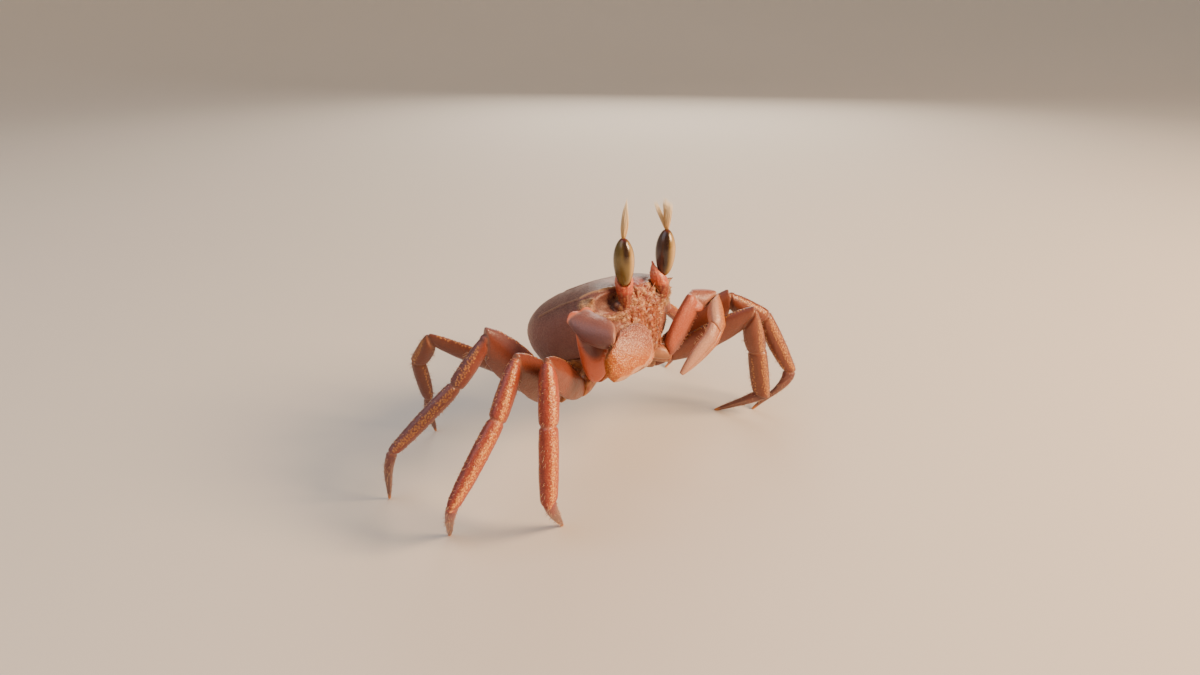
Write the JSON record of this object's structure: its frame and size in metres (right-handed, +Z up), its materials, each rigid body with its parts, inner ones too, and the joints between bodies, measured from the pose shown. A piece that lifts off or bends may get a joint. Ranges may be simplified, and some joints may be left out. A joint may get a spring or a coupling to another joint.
{
  "type": "tufted ghost crab",
  "caption": "Life-size still model of a tufted ghost crab standing high on its legs, claws folded in front and eyes raised on their stalks.",
  "frame": {"origin": "centre of the stance on the floor, under the middle of the whole crab", "axes": "+Z up, -Y to the crab's front, +X to the crab's left; the longest extent, across the legs, is X"},
  "size_m": [0.122, 0.0742, 0.0669],
  "materials": {
    "shell": "finely granular, satin",
    "underside": "smooth with a few soft hairs, satin",
    "leg": "smooth to finely toothed, satin",
    "claw": "granular, satin",
    "cornea": "glossy",
    "stalk": "smooth, moist",
    "tuft": "brush of stiff hairs"
  },
  "bodies": {
    "root": {"carapace": "shell", "thorax": "underside", "abdomen": "underside", "maxilliped_right": "underside", "eyestalk_right": "stalk", "cornea_right": "cornea", "eye_tuft_right": "tuft", "claw_right_merus": "claw", "claw_right_carpus": "claw", "claw_right_palm": "claw", "claw_right_finger": "claw", "leg_right_1_merus": "leg", "leg_right_1_carpus": "leg", "leg_right_1_propodus": "leg", "leg_right_1_dactylus": "leg", "leg_right_2_merus": "leg", "leg_right_2_carpus": "leg", "leg_right_2_propodus": "leg", "leg_right_2_dactylus": "leg", "leg_right_3_merus": "leg", "leg_right_3_carpus": "leg", "leg_right_3_propodus": "leg", "leg_right_3_dactylus": "leg", "leg_right_4_merus": "leg", "leg_right_4_carpus": "leg", "leg_right_4_propodus": "leg", "leg_right_4_dactylus": "leg", "maxilliped_left": "underside", "eyestalk_left": "stalk", "cornea_left": "cornea", "eye_tuft_left": "tuft", "claw_left_merus": "claw", "claw_left_carpus": "claw", "claw_left_palm": "claw", "claw_left_finger": "claw", "leg_left_1_merus": "leg", "leg_left_1_carpus": "leg", "leg_left_1_propodus": "leg", "leg_left_1_dactylus": "leg", "leg_left_2_merus": "leg", "leg_left_2_carpus": "leg", "leg_left_2_propodus": "leg", "leg_left_2_dactylus": "leg", "leg_left_3_merus": "leg", "leg_left_3_carpus": "leg", "leg_left_3_propodus": "leg", "leg_left_3_dactylus": "leg", "leg_left_4_merus": "leg", "leg_left_4_carpus": "leg", "leg_left_4_propodus": "leg", "leg_left_4_dactylus": "leg"}
  },
  "joints": []
}
